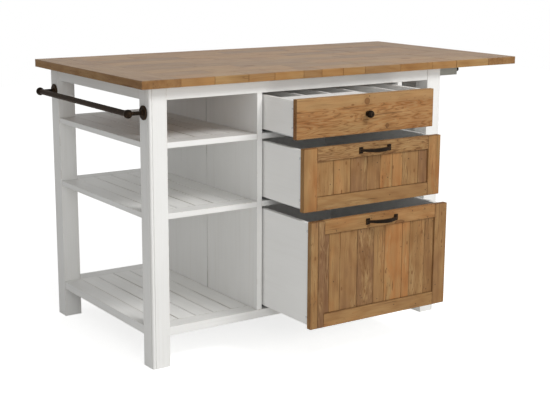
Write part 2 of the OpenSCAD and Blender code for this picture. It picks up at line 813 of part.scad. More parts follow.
worktop();
worktop_cleat();
leg_front_left();
leg_front_right();
leg_back_left();
leg_back_right();
apron_front();
apron_back();
apron_left();
end_rail_right();
base_rail_front();
base_rail_back();
base_end_rails();
base_slats();
base_board();
shelf_upper_frame();
shelf_upper_slats();
shelf_middle_frame();
shelf_middle_slats();
divider_front_board();
divider_back_board();
partition();
end_panel();
back_panel();
drawer_boards();
runner_cabinet_members();
towel_brackets();
towel_bar();
drawer_top_front();
drawer_top_sides();
drawer_top_ends();
drawer_top_bottom();
cutlery_deck();
cutlery_dividers();
knob();
runner_top_slides();
runner_top_members();
drawer_middle_frame();
drawer_middle_planks();
drawer_middle_sides();
drawer_middle_ends();
drawer_middle_bottom();
handle_middle();
runner_middle_slides();
runner_middle_members();
drawer_bottom_frame();
drawer_bottom_planks();
drawer_bottom_sides();
drawer_bottom_ends();
drawer_bottom_bottom();
handle_bottom();
runner_bottom_slides();
runner_bottom_members();
leaf();
leaf_cleat();
leaf_arms();
leaf_ears();
leaf_pins();
release_button_front();
release_button_back();
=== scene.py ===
import json
from math import cos, pi, radians, sin
from random import Random
import bmesh
import bpy
from mathutils import Matrix, Vector, noise


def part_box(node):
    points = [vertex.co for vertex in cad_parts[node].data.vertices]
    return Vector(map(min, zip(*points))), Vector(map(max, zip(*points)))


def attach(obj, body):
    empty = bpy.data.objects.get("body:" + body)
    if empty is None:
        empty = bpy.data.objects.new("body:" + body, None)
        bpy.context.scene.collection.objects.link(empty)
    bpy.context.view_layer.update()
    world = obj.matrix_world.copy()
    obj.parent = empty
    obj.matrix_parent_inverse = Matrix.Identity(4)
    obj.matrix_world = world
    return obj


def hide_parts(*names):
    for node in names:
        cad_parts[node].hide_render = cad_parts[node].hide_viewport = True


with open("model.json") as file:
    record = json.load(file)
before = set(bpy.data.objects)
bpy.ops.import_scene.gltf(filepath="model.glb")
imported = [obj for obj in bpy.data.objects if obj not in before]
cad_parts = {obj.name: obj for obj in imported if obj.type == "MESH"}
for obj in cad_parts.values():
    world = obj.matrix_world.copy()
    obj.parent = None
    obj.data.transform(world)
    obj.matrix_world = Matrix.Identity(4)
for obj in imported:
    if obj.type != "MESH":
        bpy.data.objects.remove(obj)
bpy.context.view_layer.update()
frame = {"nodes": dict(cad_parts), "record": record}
print("frame loaded:", len(frame["nodes"]), "nodes")

# Lengths are in metres, and angles in the settings in degrees, unless a note says more.
camera = {
    "place": (-2.3268, -3.2979, 1.2886),
    "yaw": 34.079,              # from +Y towards +X
    "pitch": -12.499,           # up from level
    "roll": 0.307,
    "lens": 77.44,              # in mm, for a sensor of this width
    "sensor": 36,
    "farthest": 60,
}


def addObject(name, data, place=(0, 0, 0), turn=Matrix.Identity(3)):
    made = bpy.data.objects.new(name, data)
    made.matrix_world = Matrix.Translation(place) @ turn.to_4x4()
    bpy.context.scene.collection.objects.link(made)
    return made


def makeCamera():
    yaw, pitch, roll = (radians(camera[key]) for key in ("yaw", "pitch", "roll"))
    ahead = Vector((sin(yaw) * cos(pitch), cos(yaw) * cos(pitch), sin(pitch)))
    level = Vector((cos(yaw), -sin(yaw), 0))
    upright = level.cross(ahead)
    right = cos(roll) * level + sin(roll) * upright
    top = cos(roll) * upright - sin(roll) * level
    lens = bpy.data.cameras.new("photoCamera")
    lens.sensor_width = camera["sensor"]
    lens.lens = camera["lens"]
    lens.dof.use_dof = False
    lens.clip_end = camera["farthest"]
    turn = Matrix((right, top, -ahead)).transposed()
    bpy.context.scene.camera = addObject("photoCamera", lens, camera["place"], turn)


class Wire:
    # one output socket of a node; sums, products and the rest add Math nodes to it
    def __init__(self, look, socket):
        self.look = look
        self.socket = socket

    def maths(self, operation, first, second=0.0):
        return self.look.node("Math", {"operation": operation}, {0: first, 1: second})

    def __add__(self, other):
        return self.maths("ADD", self, other)

    def __sub__(self, other):
        return self.maths("SUBTRACT", self, other)

    def __rsub__(self, other):
        return self.maths("SUBTRACT", other, self)

    def __mul__(self, other):
        return self.maths("MULTIPLY", self, other)

    __radd__ = __add__
    __rmul__ = __mul__

    def power(self, other):
        return self.maths("POWER", self, other)

    def most(self, other):
        return self.maths("MAXIMUM", self, other)

    def least(self, other):
        return self.maths("MINIMUM", self, other)

    def sine(self):
        return self.maths("SINE", self)

    def swing(self):
        # its sine, brought to 0 to 1
        return self.sine() * 0.5 + 0.5


def weighed(parts, weights):
    # the sum of the named parts, each times its weight
    return sum(parts[name] * weight for name, weight in weights.items())


class Look:
    # a node tree, of a material or of the world
    def __init__(self, owner):
        owner.use_nodes = True
        self.owner = owner
        self.tree = owner.node_tree
        self.tree.nodes.clear()

    def node(self, kind, settings=None, sockets=None, take=0):
        # one node: its settings first, then its sockets' values or links
        made = self.tree.nodes.new("ShaderNode" + kind)
        for key, value in (settings or {}).items():
            if key == "stops":
                bands = made.color_ramp.elements
                while len(bands) < len(value):
                    bands.new(1)
                for band, (place, colour) in zip(bands, value):
                    band.position = place
                    band.color = (*colour, 1)
            else:
                setattr(made, key, value)
        for key, value in (sockets or {}).items():
            if isinstance(value, Wire):
                self.tree.links.new(value.socket, made.inputs[key])
            elif isinstance(value, tuple) and made.inputs[key].type == "RGBA":
                made.inputs[key].default_value = (*value, 1)
            else:
                made.inputs[key].default_value = value
        return Wire(self, made.outputs[take]) if made.outputs else None

    def attribute(self, name, take):
        return self.node("Attribute", {"attribute_name": name}, take=take)

    def looked(self):
        # 1 where the camera, a reflection or glass looks, else 0
        seen, glossy, glass = [self.node("LightPath", take="Is " + kind + " Ray")
                               for kind in ("Camera", "Glossy", "Transmission")]
        return seen.most(glossy).most(glass)

    def blend(self, factor, first, second, way="MIX"):
        # sockets 6 and 7, and output 2, are a Mix node's colours
        return self.node("Mix", {"data_type": "RGBA", "blend_type": way},
                         {0: factor, 6: first, 7: second}, take=2)

    def painted(self, colour, layers):
        # the colour under the layers, from the lowest up: factor, shade and way to blend
        for factor, shade, way in layers:
            colour = self.blend(factor, colour, shade, way)
        return colour

    def ramp(self, value, stops):
        return self.node("ValToRGB", {"stops": stops}, {0: value})

    def between(self, value, low, high):
        # 0 below low, 1 above high, smooth from one to the other
        return self.node("MapRange", {"interpolation_type": "SMOOTHSTEP"},
                         {"Value": value, "From Min": low, "From Max": high})

    def upTo(self, value, low, high):
        # 1 below low, 0 above high
        return 1 - self.between(value, low, high)

    def vectors(self, operation, first, second=(0.0, 0.0, 0.0), take=0):
        return self.node("VectorMath", {"operation": operation}, {0: first, 1: second}, take)

    def scaled(self, vector, size):
        return self.vectors("MULTIPLY", vector, size)

    def split(self, vector):
        made = self.node("SeparateXYZ", {}, {0: vector}).socket.node
        return [Wire(self, socket) for socket in made.outputs]

    def redOf(self, colour):
        return self.node("SeparateColor", {}, {0: colour})

    def edges(self):
        # how far a point is from its board's nearest edge, from the board's end, from
        # its broad faces, and above its top face
        offset = self.attribute("offset", "Vector")
        half = self.attribute("half", "Vector")
        away = self.vectors("SUBTRACT", half, self.vectors("ABSOLUTE", offset))
        end, side, face = self.split(away)
        rim = end.least(side).most(end.most(side).least(face))
        above = self.split(self.vectors("SUBTRACT", offset, half))[2]
        return {"rim": rim, "end": end, "face": face, "above": above}

    def speckle(self, vector, size, detail=3.0, rough=0.55):
        # noise, with its own scale along and across the board
        return self.node("TexNoise", {}, {"Vector": self.scaled(vector, size), "Scale": 1.0,
                                          "Detail": detail, "Roughness": rough})

    def speckles(self, vector, noises):
        return {name: self.speckle(vector, *kind) for name, kind in noises.items()}

    def spots(self, vector, size, share):
        # how far a point is from the middle of its cell in a flat grid, in cells, and
        # 1 in the chosen share of the cells
        kind = {"feature": "F1", "voronoi_dimensions": "2D"}
        cell = {"Vector": self.scaled(vector, size), "Scale": 1.0, "Randomness": 1.0}
        pick = self.redOf(self.node("TexVoronoi", kind, cell, take="Color"))
        chosen = self.between(pick, 1 - share, 1.001 - share)
        return self.node("TexVoronoi", kind, cell), chosen

    def surface(self, colour, parts, pattern, settings, others):
        # the material: its pattern weighs the parts for roughness and relief
        relief = self.node("Bump", {}, {"Height": weighed(parts, pattern["relief"]),
                                        "Strength": settings["bump"],
                                        "Distance": pattern["reliefHeight"]})
        shader = self.node("BsdfPrincipled", {}, {
            "Base Color": colour,
            "Roughness": weighed(parts, pattern["roughness"]) + settings["rough"],
            "Normal": relief,
            **others,
        })
        self.node("OutputMaterial", {}, {"Surface": shader})
        return self.owner


def newLook(name):
    return Look(bpy.data.materials.new(name))


studio = {
    "white": (1.0, 1.0, 1.0),
    "skyLight": 0.40,           # what the sky lights with, where it shows as 1
    "floorColour": (0.80, 0.80, 0.79),
    "floorLift": 0.70,          # added where the camera sees the floor
    "floorSize": 14,
    # name, place, aim, size, watts
    "lamps": [
        ("highLamp", (0.93, -3.1, 3.56), (0, 0, 0.45), 1.6, 95),
        ("lowLamp", (-1.5, -4.0, 1.3), (-0.1, -0.2, 0.45), 1.6, 32),
    ],
}


def makeFloor():
    half = studio["floorSize"] / 2
    mesh = bpy.data.meshes.new("studioFloor")
    mesh.from_pydata([(-half, -half, 0), (half, -half, 0), (half, half, 0), (-half, half, 0)],
                     [], [(0, 1, 2, 3)])
    plane = addObject("studioFloor", mesh)
    look = newLook("floorPaper")
    paper = look.node("BsdfDiffuse", {}, {"Color": studio["floorColour"]})
    lift = look.node("Emission", {}, {"Color": studio["white"],
                                      "Strength": look.looked() * studio["floorLift"]})
    both = look.node("AddShader", {}, {0: paper, 1: lift})
    look.node("OutputMaterial", {}, {"Surface": both})
    mesh.materials.append(look.owner)


def makeSky():
    world = bpy.data.worlds.new("studioSky")
    bpy.context.scene.world = world
    look = Look(world)
    strength = look.looked() * (1 - studio["skyLight"]) + studio["skyLight"]
    sky = look.node("Background", {}, {"Color": studio["white"], "Strength": strength})
    look.node("OutputWorld", {}, {"Surface": sky})


def makeLamps():
    for name, place, aim, size, watts in studio["lamps"]:
        lamp = bpy.data.lights.new(name, "AREA")
        lamp.shape = "DISK"
        lamp.size = size
        lamp.energy = watts
        towards = Vector(aim) - Vector(place)
        addObject(name, lamp, place, towards.to_track_quat("-Z", "Y").to_matrix())


makeCamera()
makeFloor()
makeSky()
makeLamps()
bpy.context.scene.view_settings.view_transform = "Standard"
print("camera, floor and light made")

# Finishes. Every piece carries these attributes. grain: a point's place, x along the
# board, with a shift of its own for each board. offset and half: its place from the
# board's middle, and half the board's size, in the same order. tone and sawn: each
# board's shade and how rough-sawn it is, 0 to 1. worn: 1 on rounded edges, and more
# on a joint's faces that are darkened as painted shade.
# A noise below has its size in waves per metre along, across and through the board, its
# detail and its roughness. A mask has the values at which it starts and is full. Under
# relief and roughness stands how much each part adds.

woodPattern = {
    "drift": ((2.5, 6.0, 6.0), 2.0),
    "bend": (0.0, 0.035, -0.035),       # how far the drift bends the grain
    "cloud": ((4.0, 11.0, 11.0), 3.0),
    # these follow the bent grain
    "bentNoises": {
        "patch": ((7.0, 30.0, 30.0), 3.0),
        "streak": ((2.6, 95.0, 95.0), 3.0),
        "fibre": ((13.0, 420.0, 420.0), 2.0),
        "fleckNoise": ((60.0, 170.0, 170.0), 2.0),
        "crackNoise": ((5.0, 210.0, 210.0), 1.0),
    },
    "ringWaver": 9.0,           # how far the clouds push the rings, in radians
    "ringPower": 3.0,           # how thin the dark part of a ring is
    "masks": {
        "stain": (0.50, 0.70), "pale": (0.52, 0.72), "streak": (0.42, 0.66),
        "fibre": (0.44, 0.70), "topSkin": (-0.003, -0.001), "rimStreak": (0.30, 0.62),
        "endSkin": (0.0009, 0.0016), "worn": (0.38, 0.60),
    },
    "rimStart": 0.0006,
    "depths": {
        "fibre": 0.45, "strip": 0.35, "halo": 0.40, "core": 0.85, "knotRings": 0.30,
        "collar": 0.65, "crack": 0.6, "nail": 0.85, "end": 0.8,
    },
    "relief": {
        "fibre": 0.25, "streak": 0.35, "ring": 0.25, "patch": 0.3, "crack": -0.9,
        "marks": -0.5, "fleck": -0.4, "nail": -1.4, "collar": -0.5,
    },
    "reliefHeight": 0.0014,
    "roughness": {"streak": 0.18, "marks": 0.12, "crack": 0.1},
    "waxThinned": 0.12,
    "waxRough": 0.32,
}
knotPattern = {
    "bigCells": (3.2, 7.5, 0.0),        # cells per metre, each with a knot or none
    "pinCells": (7.0, 15.0, 0.0),
    # masks over the distance from a knot's middle, in cells
    "bigCore": (0.05, 0.065),
    "pinCore": (0.035, 0.055),
    "halo": (0.05, 0.17),
    "collarIn": (0.035, 0.055),
    "collarOut": (0.055, 0.08),
    "ringTurn": 260.0,          # how fast the rings follow each other, in radians a cell
    # knots placed one by one: shares of their radius, and the rings in radians a metre
    "waver": 0.006,
    "coreFrom": 0.85,
    "haloTo": 2.6,
    "collar": (0.7, 0.9, 1.25),
    "placedTurn": 2600.0,
}
flawPattern = {
    "nailCells": (14.0, 15.0, 0.0),
    "nail": (0.020, 0.032),
    "skin": (0.0004, 0.001),            # how deep below a broad face a nail shows
    "fleck": (0.63, 0.70),
    "fleckCloud": (0.40, 0.62),
    "crackSpread": 0.04,
    "scrawlDetail": 2.5,        # of the noise whose level lines the saw marks follow
    "sawnPull": 0.5,            # how much a rough-sawn board adds to its marks
    "rasped": (0.62, 0.90),
    "markLine": (0.66, 0.97),
    "markFibre": (0.20, 0.55),
    "ridge": (-0.95, -0.30),
    "stripWaver": 0.02,
    "stripSpread": 0.004,
}


def woodParts(look):
    # the grain bent by a slow drift, the noises and the distances from a board's edges
    grain = look.attribute("grain", "Vector")
    drift = look.speckle(grain, *woodPattern["drift"])
    bent = look.vectors("ADD", grain, look.scaled(drift, woodPattern["bend"]))
    return {"grain": grain, "drift": drift, "bent": bent,
            "cloud": look.speckle(grain, *woodPattern["cloud"]),
            **look.speckles(bent, woodPattern["bentNoises"]), **look.edges()}


def addRings(look, parts, settings):
    # growth rings round a pith that lies off the board
    run = look.scaled(parts["bent"], (settings["ringRun"], 1.0, 1.0))
    reach = look.vectors("LENGTH", run, take="Value")
    turn = reach * (settings["ringsPerMetre"] * 2 * pi) + parts["cloud"] * woodPattern["ringWaver"]
    parts["ring"] = turn.swing().power(woodPattern["ringPower"])


def addKnots(look, parts, settings):
    # scattered knots, big and small, with a core, a halo, a dark collar and rings
    knots = knotPattern
    bigAway, bigKnot = look.spots(parts["bent"], knots["bigCells"], settings["knotShare"])
    pinAway, pinKnot = look.spots(parts["bent"], knots["pinCells"], settings["pinShare"])
    core = bigKnot * look.upTo(bigAway, *knots["bigCore"])
    core = core.most(pinKnot * look.upTo(pinAway, *knots["pinCore"]))
    halo = bigKnot * look.upTo(bigAway, *knots["halo"])
    collar = (halo * look.between(bigAway, *knots["collarIn"])
              * look.upTo(bigAway, *knots["collarOut"]))
    rings = (bigAway * knots["ringTurn"]).swing()
    # then those that the settings place, from the middle of the board
    for x, y, radius in settings.get("knotsAt", ()):
        aside = look.vectors("SUBTRACT", look.attribute("offset", "Vector"), (x, y, 0.0))
        away = look.vectors("LENGTH", look.scaled(aside, (1.0, 1.0, 0.0)), take="Value")
        away = away + (parts["patch"] - 0.5) * knots["waver"]
        start, crest, stop = (radius * share for share in knots["collar"])
        core = core.most(look.upTo(away, radius * knots["coreFrom"], radius))
        halo = halo.most(look.upTo(away, radius, radius * knots["haloTo"]))
        collar = collar.most(look.between(away, start, crest) * look.upTo(away, crest, stop))
        rings = rings.least((away * knots["placedTurn"]).swing())
    parts.update(core=core, halo=halo, collar=collar, knotRings=rings)


def addFlaws(look, parts, settings):
    # nail holes in the broad faces, flecks and fine open cracks
    flaws = flawPattern
    away, nailed = look.spots(parts["grain"], flaws["nailCells"], settings["nailShare"])
    parts["nail"] = (nailed * look.upTo(away, *flaws["nail"])
                     * look.upTo(parts["face"], *flaws["skin"]))
    parts["fleck"] = (look.between(parts["fleckNoise"], *flaws["fleck"])
                      * look.between(parts["cloud"], *flaws["fleckCloud"]))
    crackFrom = settings["crackFrom"]
    parts["crack"] = look.between(parts["crackNoise"], crackFrom, crackFrom + flaws["crackSpread"])


def addSawMarks(look, parts, settings):
    # the wavy lines of a rough saw and the pale ridges between them
    flaws = flawPattern
    scrawl = look.speckle(parts["bent"], settings["markSize"], flaws["scrawlDetail"])
    wavy = (scrawl * settings["markLines"]).sine()
    sawn = look.attribute("sawn", "Fac") * flaws["sawnPull"]
    rasped = look.between(parts["patch"] + sawn, *flaws["rasped"])
    marks = (look.between(wavy, *flaws["markLine"])
             * look.between(parts["fibre"], *flaws["markFibre"]) * rasped)
    ridges = look.upTo(wavy, *flaws["ridge"]) * rasped
    strip = 0.0
    if "smoothFrom" in settings:
        # none on the planed strip along the board's top
        low = settings["smoothFrom"]
        height = look.split(look.attribute("offset", "Vector"))[1]
        height = height + (parts["drift"] - 0.5) * flaws["stripWaver"]
        strip = look.between(height, low, low + flaws["stripSpread"])
        marks = marks * (1 - strip)
        ridges = ridges * (1 - strip)
    parts.update(marks=marks, ridges=ridges, strip=strip)


def woodLook(name, settings):
    look = newLook(name)
    parts = woodParts(look)
    for add in (addRings, addKnots, addFlaws, addSawMarks):
        add(look, parts, settings)
    tone = look.attribute("tone", "Fac")
    worn = look.attribute("worn", "Fac")
    depths = woodPattern["depths"]

    def mask(part, name):
        return look.between(parts[part], *woodPattern["masks"][name])

    shift = ((parts["patch"] - 0.5) * settings["mottle"]
             + (parts["cloud"] - 0.5) * settings["drift"])
    topSkin = mask("above", "topSkin")
    rim = look.upTo(parts["rim"], woodPattern["rimStart"], settings["rimWidth"])
    colour = look.painted(look.ramp(tone + shift, settings["tones"]), [
        (mask("cloud", "stain") * settings["stainDepth"], settings["stain"], "MULTIPLY"),
        (mask("patch", "pale") * settings["paleDepth"], settings["pale"], "MIX"),
        (mask("streak", "streak") * settings["streakDepth"], settings["streak"], "MULTIPLY"),
        (parts["ring"] * settings["ringDepth"], settings["ring"], "MULTIPLY"),
        (parts["strip"] * depths["strip"], settings["pale"], "MIX"),
        (mask("fibre", "fibre") * depths["fibre"], settings["streak"], "MULTIPLY"),
        (parts["ridges"] * settings["ridgeDepth"], settings["pale"], "MIX"),
        # painted sheen: the top face greyed and lightened with a pale grey, standing in for the
        # reflection of a bright sky
        (topSkin * settings["scrubDepth"], settings["scrub"], "MIX"),
        (parts["halo"] * depths["halo"], settings["knotHalo"], "MIX"),
        (parts["core"] * depths["core"], settings["knot"], "MIX"),
        (parts["core"] * parts["knotRings"] * depths["knotRings"], settings["mark"], "MIX"),
        (parts["collar"] * depths["collar"], settings["mark"], "MIX"),
        (parts["fleck"] * settings["fleckDepth"], settings["dark"], "MIX"),
        (parts["marks"] * settings["markDepth"], settings["mark"], "MIX"),
        (parts["crack"] * depths["crack"], settings["dark"], "MIX"),
        (parts["nail"] * depths["nail"], settings["nail"], "MIX"),
        (rim * mask("streak", "rimStreak") * settings["rimDepth"], settings["grime"], "MULTIPLY"),
        ((1 - mask("end", "endSkin")) * depths["end"], settings["endGrain"], "MULTIPLY"),
        (worn * mask("patch", "worn") * settings["wornDepth"], settings["worn"], "MIX"),
    ])
    others = {"Specular IOR Level": settings["gloss"]}
    if "waxed" in settings:
        # wax on the top face alone, thinner where the wood is rubbed
        wax = settings["waxed"] - parts["patch"] * woodPattern["waxThinned"]
        others["Coat Weight"] = topSkin * wax
        others["Coat Roughness"] = woodPattern["waxRough"]
    return look.surface(colour, parts, woodPattern, settings, others)


frontWood = {
    "tones": [(0.0, (0.215, 0.112, 0.052)), (0.25, (0.283, 0.153, 0.062)),
              (0.5, (0.345, 0.197, 0.078)), (0.75, (0.385, 0.176, 0.059)),
              (1.0, (0.395, 0.238, 0.096))],
    "mottle": 0.80, "drift": 0.95,      # how far patches and clouds shift the shade
    "stain": (0.66, 0.57, 0.50), "stainDepth": 0.60,
    "pale": (0.42, 0.285, 0.135), "paleDepth": 0.30,
    "streak": (0.78, 0.72, 0.66), "streakDepth": 0.50,
    "ring": (0.76, 0.66, 0.56), "ringDepth": 0.34, "ringRun": 0.05, "ringsPerMetre": 165.0,
    "knot": (0.200, 0.088, 0.029), "knotHalo": (0.27, 0.135, 0.048),
    "knotShare": 0.05, "pinShare": 0.55,
    "nail": (0.026, 0.015, 0.010), "nailShare": 0.50,
    "dark": (0.082, 0.036, 0.016), "fleckDepth": 0.50, "crackFrom": 0.70,
    "mark": (0.115, 0.050, 0.019), "markDepth": 0.72,
    "markSize": (6.0, 46.0, 46.0), "ridgeDepth": 0.30,
    "markLines": 60.0,          # how close the saw's lines lie
    "grime": (0.55, 0.45, 0.37), "rimWidth": 0.0030, "rimDepth": 0.50,
    "endGrain": (0.62, 0.54, 0.46),
    "worn": (0.39, 0.255, 0.125), "wornDepth": 0.35,
    # the painted sheen on the top face, none on the fronts
    "scrub": (0.40, 0.30, 0.18), "scrubDepth": 0.0,
    "rough": 0.55, "gloss": 0.20, "bump": 0.45,
}
topFrontWood = dict(
    frontWood, mottle=0.50, drift=0.45, knotShare=0.0, pinShare=0.05, nailShare=0.10,
    fleckDepth=0.30, markDepth=0.52, markSize=(4.2, 32.0, 32.0), markLines=72.0,
    smoothFrom=0.028,           # how far above the middle the planed strip starts
    knotsAt=[(-0.0025, 0.039, 0.0095), (0.0806, -0.0440, 0.0072)])
topWood = dict(
    frontWood, mottle=0.50, drift=0.40, knotShare=0.08, pinShare=0.12, nailShare=0.06,
    tones=[(0.0, (0.250, 0.138, 0.062)), (0.25, (0.290, 0.168, 0.075)),
           (0.5, (0.325, 0.187, 0.080)), (0.75, (0.370, 0.195, 0.070)),
           (1.0, (0.385, 0.236, 0.100))],
    fleckDepth=0.45, markDepth=0.40, ridgeDepth=0.12, rimWidth=0.0020, rimDepth=0.24,
    # the pale grey on the top face is painted sheen
    endGrain=(0.90, 0.84, 0.78), scrub=(0.42, 0.40, 0.35), scrubDepth=0.12,
    waxed=0.26, rough=0.52, gloss=0.13, bump=0.40)


paintPattern = {
    "noises": {
        "brush": ((6.0, 300.0, 300.0), 2.0),
        "under": ((2.2, 70.0, 70.0), 3.0),      # the wood's lines under the paint
        "cloud": ((4.0, 9.0, 9.0), 3.0),
        "chips": ((22.0, 60.0, 60.0), 3.0, 0.65),
    },
    "clouded": (0.35, 0.70),
    "lines": (0.48, 0.74),
    "brushed": (0.45, 0.75),
    "soilRim": (0.0, 0.012),
    "soilCloud": (0.42, 0.62),
    "edgeLines": (0.40, 0.60),
    "rubStart": 0.0004,
    "rubWaver": 0.004,          # how far the chips push the rubbed rim
    "rubSpread": 0.05,
    "roughness": {"brush": 0.12, "under": 0.10, "bare": 0.25},
    "relief": {"brush": 0.30, "under": 0.60, "bare": -0.8},
    "reliefHeight": 0.0009,
    "gloss": 0.35,
}


def paintLook(name, settings):
    look = newLook(name)
    parts = look.speckles(look.attribute("grain", "Vector"), paintPattern["noises"])
    worn = look.attribute("worn", "Fac")
    rim = look.edges()["rim"]
    wavering = rim + (parts["chips"] - 0.5) * paintPattern["rubWaver"]
    near = look.upTo(wavering, paintPattern["rubStart"], settings["rubWidth"])
    rubFrom = settings["rubFrom"]
    parts["bare"] = near * look.between(parts["chips"], rubFrom,
                                        rubFrom + paintPattern["rubSpread"])
    soiled = (look.upTo(rim, *paintPattern["soilRim"])
              * look.between(parts["cloud"], *paintPattern["soilCloud"]))
    lines = look.between(parts["under"], *paintPattern["lines"])
    brushed = look.between(parts["brush"], *paintPattern["brushed"])
    # rounded edges darkened: dirt on the frame and boxes, painted shade in the slats' gaps and on
    # the divider's joint faces
    edgeDirtAndShade = worn * look.between(parts["under"], *paintPattern["edgeLines"])
    colour = look.painted(settings["colour"], [
        (look.between(parts["cloud"], *paintPattern["clouded"]), settings["clouded"], "MIX"),
        (lines * settings["lineDepth"], settings["line"], "MULTIPLY"),
        (brushed * settings["brushDepth"], settings["line"], "MULTIPLY"),
        (soiled * settings["soilDepth"], settings["soil"], "MULTIPLY"),
        (edgeDirtAndShade * settings["edgeDepth"], settings["soil"], "MULTIPLY"),
        (parts["bare"] * settings["rubDepth"], settings["bare"], "MIX"),
    ])
    return look.surface(colour, parts, paintPattern, settings,
                        {"Specular IOR Level": paintPattern["gloss"]})


framePaint = {
    "colour": (0.850, 0.845, 0.825), "clouded": (0.825, 0.820, 0.800),
    "line": (0.92, 0.91, 0.895), "lineDepth": 0.40, "brushDepth": 0.25,
    "soil": (0.84, 0.81, 0.76), "soilDepth": 0.14, "edgeDepth": 0.22,
    "bare": (0.40, 0.31, 0.22), "rubFrom": 0.58, "rubWidth": 0.0022, "rubDepth": 0.65,
    "rough": 0.40, "bump": 0.30,
}
boxLacquer = dict(framePaint, colour=(0.930, 0.925, 0.905), clouded=(0.910, 0.905, 0.885),
                  lineDepth=0.20, brushDepth=0.15, soilDepth=0.10, edgeDepth=0.12,
                  rubFrom=0.66, rubDepth=0.4, rough=0.34, bump=0.10)
# the slats' paint: lighter than the frame's as painted light on the shelf tops, with darker
# rounded edges as painted shade in the gaps between slats
slatPaint = dict(framePaint, colour=(0.905, 0.900, 0.880), clouded=(0.885, 0.880, 0.860),
                 soil=(0.50, 0.47, 0.42), soilDepth=0.04, edgeDepth=0.75)
# the divider boards' paint: dark soil near the rims and on rounded edges, and painted shade on the
# joint's faces
dividerPaint = dict(framePaint, soil=(0.26, 0.24, 0.21), soilDepth=0.03, edgeDepth=0.05)

darkBronze = {
    "noises": {
        "cast": ((260.0, 260.0, 260.0), 4.0, 0.6),
        "haze": ((42.0, 42.0, 42.0), 3.0, 0.6),
        "pitNoise": ((700.0, 700.0, 700.0), 2.0),
    },
    "pits": (0.62, 0.72),
    "rubHaze": (0.60, 0.76), "rubOnEdges": 0.7, "rubOnFaces": 0.8,
    "dullHaze": (0.35, 0.65),
    "colour": (0.0085, 0.0060, 0.0045),
    "hazed": (0.014, 0.0095, 0.0065),
    "rubbed": (0.100, 0.055, 0.026), "rubDepth": 0.6,
    "edgeTint": (0.60, 0.50, 0.42),
    "metal": 0.50, "gloss": 0.15,
    "rough": 0.30, "roughness": {"cast": 0.22, "haze": 0.14, "rub": -0.10},
    "bump": 0.30, "relief": {"cast": 0.6, "haze": 0.3, "pits": -0.4}, "reliefHeight": 0.0006,
}


def bronzeLook(name, settings):
    look = newLook(name)
    parts = look.speckles(look.attribute("grain", "Vector"), settings["noises"])
    worn = look.attribute("worn", "Fac")
    parts["pits"] = look.between(parts["pitNoise"], *settings["pits"])
    parts["rub"] = (worn * settings["rubOnEdges"]).most(
        look.between(parts["haze"], *settings["rubHaze"]) * settings["rubOnFaces"])
    colour = look.painted(settings["colour"], [
        (look.between(parts["haze"], *settings["dullHaze"]), settings["hazed"], "MIX"),
        (parts["rub"] * settings["rubDepth"], settings["rubbed"], "MIX"),
    ])
    return look.surface(colour, parts, settings, settings,
                        {"Metallic": settings["metal"],
                         "Specular IOR Level": settings["gloss"],
                         "Specular Tint": settings["edgeTint"]})


sheetPattern = {
    "noises": {
        "rolled": ((12.0, 300.0, 300.0), 3.0, 0.6),
        "haze": ((30.0, 30.0, 30.0), 3.0, 0.6),
    },
    "spangleCells": 160.0,      # per metre
    "bloom": {"spangle": 0.5, "rolled": 0.3},
    "dullHaze": (0.55, 0.75), "dullDepth": 0.4,
    "edgeDepth": 0.5,
    "roughness": {"rolled": 0.2, "spangle": 0.08, "haze": 0.12},
    "relief": {"rolled": 1.0, "haze": 0.4},
    "reliefHeight": 0.0005,
}


def sheetMetalLook(name, settings):
    look = newLook(name)
    grain = look.attribute("grain", "Vector")
    parts = look.speckles(grain, sheetPattern["noises"])
    worn = look.attribute("worn", "Fac")
    cells = {"Vector": grain, "Scale": sheetPattern["spangleCells"]}
    parts["spangle"] = look.redOf(look.node("TexVoronoi", {"feature": "F1"}, cells, take="Color"))
    dulled = look.between(parts["haze"], *sheetPattern["dullHaze"])
    colour = look.painted(settings["colour"], [
        (weighed(parts, sheetPattern["bloom"]), settings["bloom"], "MIX"),
        (dulled * sheetPattern["dullDepth"], settings["dull"], "MIX"),
        (worn * sheetPattern["edgeDepth"], settings["edge"], "MIX"),
    ])
    return look.surface(colour, parts, sheetPattern, settings, {"Metallic": settings["metal"]})


runnerZinc = {
    "colour": (0.50, 0.51, 0.52), "bloom": (0.62, 0.63, 0.64), "edge": (0.66, 0.66, 0.66),
    "dull": (0.40, 0.40, 0.39), "metal": 0.9, "rough": 0.26, "bump": 0.15,
}
bracketEnamel = {
    "colour": (0.30, 0.30, 0.265), "bloom": (0.345, 0.345, 0.305), "edge": (0.42, 0.42, 0.38),
    "dull": (0.25, 0.25, 0.22), "metal": 0.15, "rough": 0.40, "bump": 0.15,
}
looks = {
    "worktop_wood": woodLook("worktopWood", topWood),
    "front_wood": woodLook("frontWood", frontWood),
    "top_front_wood": woodLook("topFrontWood", topFrontWood),
    "frame_white": paintLook("framePaint", framePaint),
    "box_white": paintLook("boxLacquer", boxLacquer),
    "slat_white": paintLook("slatPaint", slatPaint),
    "divider_white": paintLook("dividerPaint", dividerPaint),
    "dark_bronze": bronzeLook("darkBronze", darkBronze),
    "runner_steel": sheetMetalLook("runnerZinc", runnerZinc),
    "bracket_steel": sheetMetalLook("bracketEnamel", bracketEnamel),
}
print("finishes made:", len(looks))

